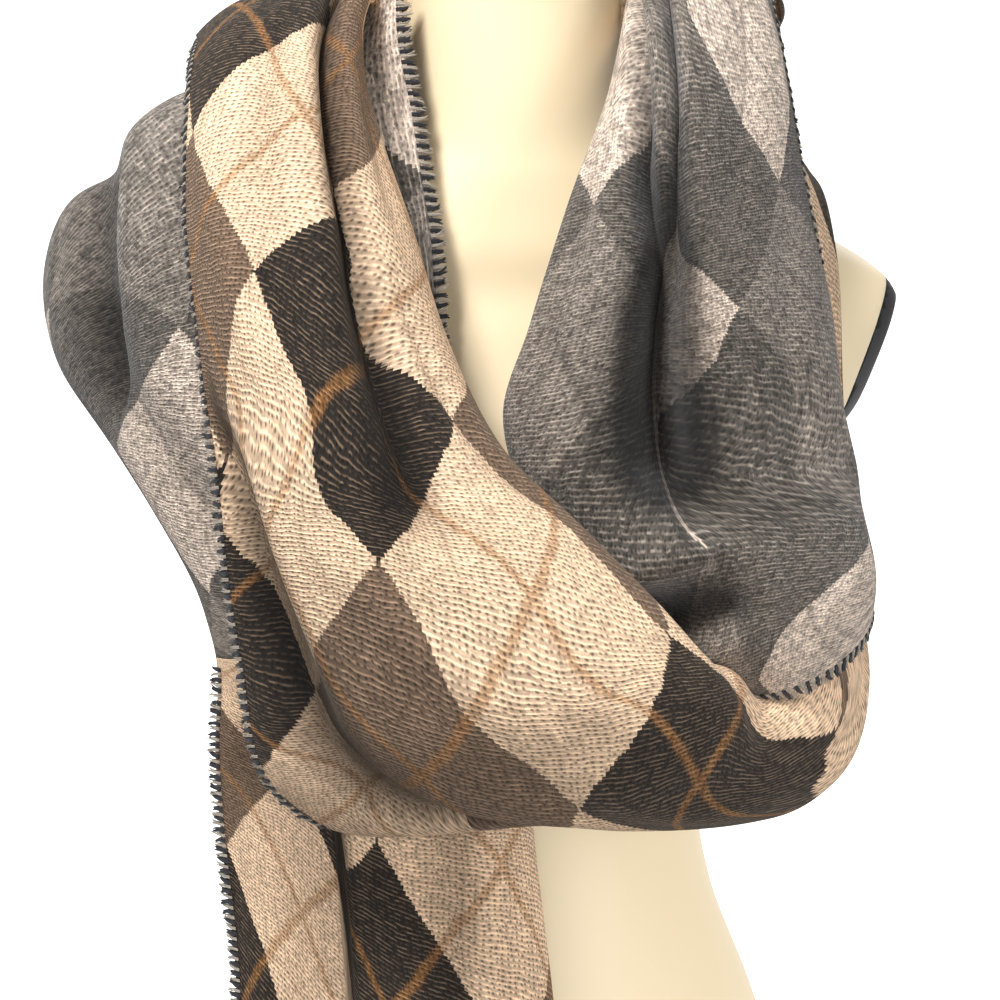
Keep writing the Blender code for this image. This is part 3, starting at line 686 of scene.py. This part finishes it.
def clothPiece(name, surface, places, shares, diamonds, shade, slot, nodes, outerSide, innerSide):
    # a closed thin shell: the outer side first, then the inner side, then the four narrow edges
    points = surface(places, shares) * mm
    normals = normalsOf(surface, places, shares)
    half = cloth["wall"] / 2 * mm
    steps, columns = len(places), len(shares)
    count = steps * columns
    vertices = np.concatenate([(points + normals * half).reshape(-1, 3), (points - normals * half).reshape(-1, 3)])
    index = np.arange(count).reshape(steps, columns)
    quads = np.stack([index[:-1, :-1], index[1:, :-1], index[1:, 1:], index[:-1, 1:]], axis=2).reshape(-1, 4)
    outer = quads[:, ::-1]
    inner = quads + count
    loop = np.concatenate([index[0, :], index[1:, -1], index[-1, -2::-1], index[-2:0:-1, 0]])
    ahead = np.roll(loop, -1)
    rim = np.stack([loop, loop + count, ahead + count, ahead], axis=1)
    faces = np.concatenate([outer, inner, rim]).tolist()
    piece = softPiece(name, vertices, faces, [outerSide, innerSide], nodes)
    mesh = piece.data
    sides = np.zeros(len(faces), dtype=np.int32)
    sides[len(outer):len(outer) + len(inner)] = 1
    mesh.polygons.foreach_set("material_index", sides)
    pattern = mesh.attributes.new("diamonds", "FLOAT_VECTOR", "POINT")
    values = np.zeros((2 * count, 3))
    values[:, :2] = np.concatenate([diamonds.reshape(-1, 2)] * 2)
    # the third value carries the painted fold shade, on the outer and the inner side alike
    values[:, 2] = np.concatenate([shade.ravel()] * 2)
    pattern.data.foreach_set("vector", values.ravel())
    return piece


scarf = clothSurface(scarfRows, scarfFolds, creaseLines)
# name, CAD nodes, first row, last row, steps, columns, slot, whether the reverse is outside, how it is held
stretches = [
    ("rightFall", ["right_fall"], 0, 8, 190, 130, "reverse_wool", True, "hung"),
    ("neckRoll", ["neck_roll"], 8, 12, 100, 110, "face_wool", False, "draped"),
    ("frontSwag", ["shoulder_swag", "front_swag", "corner_swag"], 12, 25, 270, 150, "face_wool", False, "draped"),
    ("rightRise", ["right_rise"], 25, 29, 90, 60, "face_wool", False, "draped"),
    ("backDrape", ["right_back_drape", "left_back_drape"], 29, 35, 140, 90, "reverse_wool", True, "draped"),
    ("leftDrape", ["left_drape"], 35, 41, 140, 110, "reverse_wool", True, "draped"),
    ("tailPiece", ["tail"], 41, 46, 130, 110, "face_wool", False, "hung"),
]
for name, nodes, first, last, steps, columns, slot, turnedOver, held in stretches:
    places = np.linspace(first, last, steps)
    shares = np.linspace(0, 1, columns)
    sides = (reverseWool, faceWool) if turnedOver else (faceWool, reverseWool)
    shade = paintedFoldShade(scarfFolds, creaseLines, places, shares)
    piece = clothPiece(name, scarf, places, shares, diamondsAt(places, shares), shade, slot, nodes, *sides)
print("scarf laid in", len(stretches), "stretches")

collar = clothSurface(collarRows, [])
collarPlaces = np.linspace(0, len(collarRows) - 1, 90)
collarShares = np.linspace(0, 1, 24)
collarDiamonds = np.stack(np.meshgrid(collarPlaces * 0.35, collarShares * 0.5, indexing="ij"), axis=2)
collarPiece = clothPiece("innerCollar", collar, collarPlaces, collarShares, collarDiamonds,
                         np.zeros(collarDiamonds.shape[:2]), "reverse_wool", ["inner_collar"],
                         reverseWool, faceWool)

fringe = {
    "pitch": 2.65,  # mm from one tuft to the next, black and pale in turn
    "reach": (4.4, 5.6),  # mm that a tuft stands out from the cloth
    "bite": 2.4,  # mm that it laps over the cloth
    "filaments": 6,  # in a tuft, half of them over each face of the cloth
    "thick": 0.85,  # mm
    "spread": 0.95,  # mm from a tuft's first filament to its last
    "blackShares": (0.86, 1.4),  # of the reach and of the thickness
    "paleShares": (1.0, 0.7),
    "stations": 200,
}


def strandTube(path, thick, sides=4):
    vertices, faces = [], []
    for i, point in enumerate(path):
        ahead = path[min(i + 1, len(path) - 1)] - path[max(i - 1, 0)]
        ahead = ahead / max(np.linalg.norm(ahead), 1e-9)
        one = np.cross(ahead, (0.31, 0.22, 0.92))
        one = one / np.linalg.norm(one)
        two = np.cross(ahead, one)
        wide = thick / 2 * (1 - 0.6 * (i / (len(path) - 1)) ** 3)
        for k in range(sides):
            turn = 2 * math.pi * k / sides
            vertices.append(point + (one * math.cos(turn) + two * math.sin(turn)) * wide)
    for i in range(len(path) - 1):
        for k in range(sides):
            low, over = i * sides + k, i * sides + (k + 1) % sides
            faces.append((low, low + sides, over + sides, over))
    faces.append(tuple(range(sides)))
    faces.append(tuple(range(len(vertices) - 1, len(vertices) - 1 - sides, -1)))
    return vertices, faces


def fringePiece(name, node, edge, outward, normal):
    # overcast tufts: half of each tuft laps over the cloth's outer face and half over its inner face
    lengths = np.concatenate([[0], np.cumsum(np.linalg.norm(np.diff(edge, axis=0), axis=1))])
    tufts = int(lengths[-1] / fringe["pitch"])
    vertices, faces, tones = [], [], []
    for i in range(tufts):
        middle = (i + 0.5) / tufts * lengths[-1] + rng.uniform(-0.3, 0.3)
        reachShare, thickShare = fringe["paleShares"] if i % 2 else fringe["blackShares"]
        reach = rng.uniform(*fringe["reach"]) * reachShare
        sway, lift = rng.uniform(-0.35, 0.35), rng.uniform(-0.15, 0.25)
        for filament in range(fringe["filaments"]):
            at = middle + (filament // 2 - 1 + rng.uniform(-0.3, 0.3)) * fringe["spread"] / 2
            root = np.array([np.interp(at, lengths, edge[:, k]) for k in range(3)])
            out = np.array([np.interp(at, lengths, outward[:, k]) for k in range(3)])
            up = np.array([np.interp(at, lengths, normal[:, k]) for k in range(3)])
            out, up = out / np.linalg.norm(out), up / np.linalg.norm(up)
            side = np.cross(out, up)
            face = 1 if filament % 2 else -1
            long = reach * rng.uniform(0.8, 1.1)
            bend = sway + rng.uniform(-0.25, 0.25)
            path = []
            for along, height in ((-fringe["bite"], 1.15), (-0.9, 1.25), (0.5, 1.0), (0.45 * long, 0.5),
                                  (0.75 * long, 0.3), (long, 0.2)):
                t = max(along, 0) / long
                path.append(root + out * along + up * (face * height + lift * long * t * t)
                            + side * bend * long * t * t)
            tube, walls = strandTube(path, fringe["thick"] * rng.uniform(0.85, 1.15) * thickShare)
            start = len(vertices)
            vertices += tube
            faces += [tuple(start + v for v in wall) for wall in walls]
            tones += [i % 2] * len(walls)
    piece = softPiece(name, np.array(vertices) * mm, faces, [blackYarn, paleYarn], [node])
    piece.data.polygons.foreach_set("material_index", np.array(tones, dtype=np.int32))
    return piece


def sideFringe(name, node, surface, share, firstRow, lastRow):
    places = np.linspace(firstRow, lastRow, fringe["stations"])
    beyond = share + (shareNudge if share else -shareNudge)
    points = surface(places, np.array([share, beyond]))
    normals = normalsOf(surface, places, np.array([share, beyond]))[:, 0]
    return fringePiece(name, node, points[:, 0], points[:, 1] - points[:, 0], normals)


def hemFringe(name, node, surface, row, inward, firstShare, lastShare):
    shares = np.linspace(firstShare, lastShare, fringe["stations"])
    rows = np.array([row, row + inward * rowNudge])
    points = surface(rows, shares)
    normals = normalsOf(surface, rows, shares)[0]
    return fringePiece(name, node, points[0], points[0] - points[1], normals)


sideFringe("swagFringe", "swag_fringe", scarf, 1.0, 13, 19.8)
sideFringe("fallSideFringe", "fall_side_fringe", scarf, 1.0, 4.4, 7.2)
sideFringe("tailSideFringe", "tail_side_fringe", scarf, 1.0, 41.1, 46)
hemFringe("fallHemFringe", "fall_hem_fringe", scarf, 0.0, 1, 0.2, 1.0)
hemFringe("tailHemFringe", "tail_hem_fringe", scarf, 46.0, -1, 0.0, 1.0)
sideFringe("collarFringe", "collar_fringe", collar, 0.0, 0, len(collarRows) - 1)
print("fringes tied")

# The dress form: level outlines in mm (height, half width, front, back)
formRings = [
    (0, 143, 93, 103), (4, 147, 96, 106), (14, 150, 99, 109), (45, 152, 101, 112), (95, 152, 102, 112),
    (175, 132, 96, 98), (245, 106, 85, 81), (300, 99, 82, 76), (360, 114, 94, 84), (425, 132, 111, 94),
    (472, 149, 105, 97), (500, 173, 98, 97), (525, 188, 86, 95), (550, 197, 75, 90), (570, 190, 67, 84),
    (590, 160, 64, 78), (608, 118, 60, 72), (625, 80, 57, 65), (648, 60, 53, 58), (695, 54, 50, 54),
    (740, 53, 49, 53), (760, 52, 48, 52), (768, 49, 45, 49),
]
form = {
    "sides": 128, "stepsPerRing": 7, "shoulderFrom": 470.0,
    # the black plates that close the arms: mm, and how far they lean
    "plateWall": 8.0, "plateGap": 0.3, "plateAt": 174.0, "plateHeight": 528.0, "plateLean": math.radians(20.5),
}


def formWork():
    places = np.linspace(0, len(formRings) - 1, (len(formRings) - 1) * form["stepsPerRing"] + 1)
    rings = betweenRows(formRings, places)
    work = bmesh.new()
    loops = []
    for z, halfWidth, front, back in rings:
        loop = []
        for side in range(form["sides"]):
            turn = 2 * math.pi * side / form["sides"]
            depth = back if math.sin(turn) > 0 else front
            loop.append(work.verts.new(Vector((halfWidth * math.cos(turn), depth * math.sin(turn), z)) * mm))
        loops.append(loop)
    for low, high in zip(loops, loops[1:]):
        for side in range(form["sides"]):
            over = (side + 1) % form["sides"]
            work.faces.new((low[side], low[over], high[over], high[side]))
    work.faces.new(list(reversed(loops[0])))
    work.faces.new(loops[-1])
    return work


def cutShoulder(work, side, distance, keepInner):
    # cut along the arm plate's plane, moved outwards by the distance
    lean = form["plateLean"]
    normal = Vector((side * math.cos(lean), 0, -math.sin(lean)))
    point = (Vector((side * form["plateAt"], 0, form["plateHeight"])) + normal * distance) * mm
    upper = [f for f in work.faces if min(v.co.z for v in f.verts) > form["shoulderFrom"] * mm]
    edges = list(dict.fromkeys(e for f in upper for e in f.edges))
    corners = list(dict.fromkeys(v for f in upper for v in f.verts))
    cut = bmesh.ops.bisect_plane(work, geom=upper + edges + corners, plane_co=point, plane_no=normal,
                                 clear_outer=keepInner, clear_inner=not keepInner)
    bmesh.ops.edgeloop_fill(work, edges=[e for e in cut["geom_cut"] if isinstance(e, bmesh.types.BMEdge)])


def hardPiece(name, work, material, node):
    bmesh.ops.recalc_face_normals(work, faces=work.faces)
    for face in work.faces:
        face.smooth = len(face.verts) < 8  # the flat cuts and ends stay flat
    mesh = bpy.data.meshes.new(name)
    work.to_mesh(mesh)
    work.free()
    addPiece(name, mesh, [material], [node])


body = formWork()
for side, name, node in ((1, "rightArmPlate", "right_arm_plate"), (-1, "leftArmPlate", "left_arm_plate")):
    plate = formWork()
    below = [f for f in plate.faces if min(v.co.z for v in f.verts) <= form["shoulderFrom"] * mm]
    bmesh.ops.delete(plate, geom=below, context="FACES")
    cutShoulder(plate, side, form["plateGap"], False)
    cutShoulder(plate, side, form["plateGap"] + form["plateWall"], True)
    hardPiece(name, plate, blackPlate, node)
    cutShoulder(body, side, 0, True)
hardPiece("dressForm", body, creamShell, "dress_form")
print("dress form made")

# Studio: a pale floor that glows further off, a sky that is brightest at the horizon, and three soft lamps.
# Lengths in m, the elevation in degrees, the lens in mm.
studio = {
    "target": (-0.007, -0.080, 0.470), "away": 1.25, "elevation": 12, "lens": 92,
    "sky": 0.42, "horizon": 1.02, "ground": 0.03,
    "floor": 60, "glowFrom": 0.15, "glowTo": 0.9, "nearGlow": 0.3, "farGlow": 1.1,
}
# name, place and aim in m, width in m, watts, spread in degrees
lamps = [
    ("key", (-0.60, -0.80, 1.85), (0, 0, 0.45), 0.45, 32, 180),
    ("back", (0.7, 1.5, 1.4), (0, 0, 0.45), 1.0, 9, 180),
    ("low fill", (0.9, -1.2, 0.10), (0.08, -0.1, 0.16), 0.6, 1.4, 55),
]
floorMesh = bpy.data.meshes.new("floor")
far = studio["floor"]
floorMesh.from_pydata([(-far, -far, 0), (far, -far, 0), (far, far, 0), (-far, far, 0)], [], [(0, 1, 2, 3)])
floor = bpy.data.objects.new("floor", floorMesh)
floorMaterial, floorTree, floorShader = newMaterial("pale studio floor")
floorShader.inputs["Base Color"].default_value = linearColour("#e4e3e1")
floorShader.inputs["Roughness"].default_value = 0.9
floorShader.inputs["Emission Color"].default_value = (1, 1, 1, 1)
# the floor glows white further off, like a lit studio sweep
floorPlace = addNode(floorTree, "ShaderNodeTexCoord").outputs["Object"]
floorReach = addNode(floorTree, "ShaderNodeVectorMath", {"operation": "LENGTH"}, None, {0: floorPlace})
floorGlow = addNode(floorTree, "ShaderNodeMapRange", {"interpolation_type": "SMOOTHSTEP"},
                    {"From Min": studio["glowFrom"], "From Max": studio["glowTo"],
                     "To Min": studio["nearGlow"], "To Max": studio["farGlow"]},
                    {"Value": floorReach.outputs["Value"]})
floorTree.links.new(floorGlow.outputs[0], floorShader.inputs["Emission Strength"])
floorMesh.materials.append(floorMaterial)
bpy.context.scene.collection.objects.link(floor)
floor.visible_diffuse = False  # the cloth's undersides stay in shade, as over a dark floor

world = bpy.data.worlds.new("studio")
bpy.context.scene.world = world
world.use_nodes = True
skyTree = world.node_tree
skyGlow = skyTree.nodes["Background"]
skyGlow.inputs["Color"].default_value = (1, 1, 1, 1)
# dark below, brightest at the horizon, softer overhead
skyPlace = addNode(skyTree, "ShaderNodeSeparateXYZ", None, None,
                   {0: addNode(skyTree, "ShaderNodeTexCoord").outputs["Generated"]})
skyBand = addNode(skyTree, "ShaderNodeMapRange", {"interpolation_type": "SMOOTHSTEP"},
                  {"From Min": -0.25, "From Max": 0.02, "To Min": studio["ground"], "To Max": studio["horizon"]},
                  {"Value": skyPlace.outputs[2]})
skyTop = addNode(skyTree, "ShaderNodeMapRange", {"interpolation_type": "SMOOTHSTEP"},
                 {"From Min": 0.12, "From Max": 0.6, "To Min": 0, "To Max": studio["horizon"] - studio["sky"]},
                 {"Value": skyPlace.outputs[2]})
skyTone = addNode(skyTree, "ShaderNodeMath", {"operation": "SUBTRACT"}, None,
                  {0: skyBand.outputs[0], 1: skyTop.outputs[0]})
skyTree.links.new(skyTone.outputs[0], skyGlow.inputs["Strength"])

for name, place, aim, size, power, spread in lamps:
    lamp = bpy.data.lights.new(name, "AREA")
    lamp.shape = "DISK"
    lamp.size = size
    lamp.energy = power
    lamp.spread = math.radians(spread)
    holder = bpy.data.objects.new(name, lamp)
    holder.location = place
    holder.rotation_euler = (Vector(aim) - Vector(place)).to_track_quat("-Z", "Y").to_euler()
    bpy.context.scene.collection.objects.link(holder)

# The camera looks slightly down at the front
camera = bpy.data.objects.new("camera", bpy.data.cameras.new("camera"))
up = math.radians(studio["elevation"])
target = Vector(studio["target"])
camera.location = target + Vector((0, -math.cos(up), math.sin(up))) * studio["away"]
camera.rotation_euler = (math.radians(90) - up, 0, 0)
camera.data.lens = studio["lens"]
camera.data.sensor_width = 36
bpy.context.scene.collection.objects.link(camera)
bpy.context.scene.camera = camera
bpy.context.scene.view_settings.view_transform = "Standard"  # plain colours and clean whites
print("studio lit")
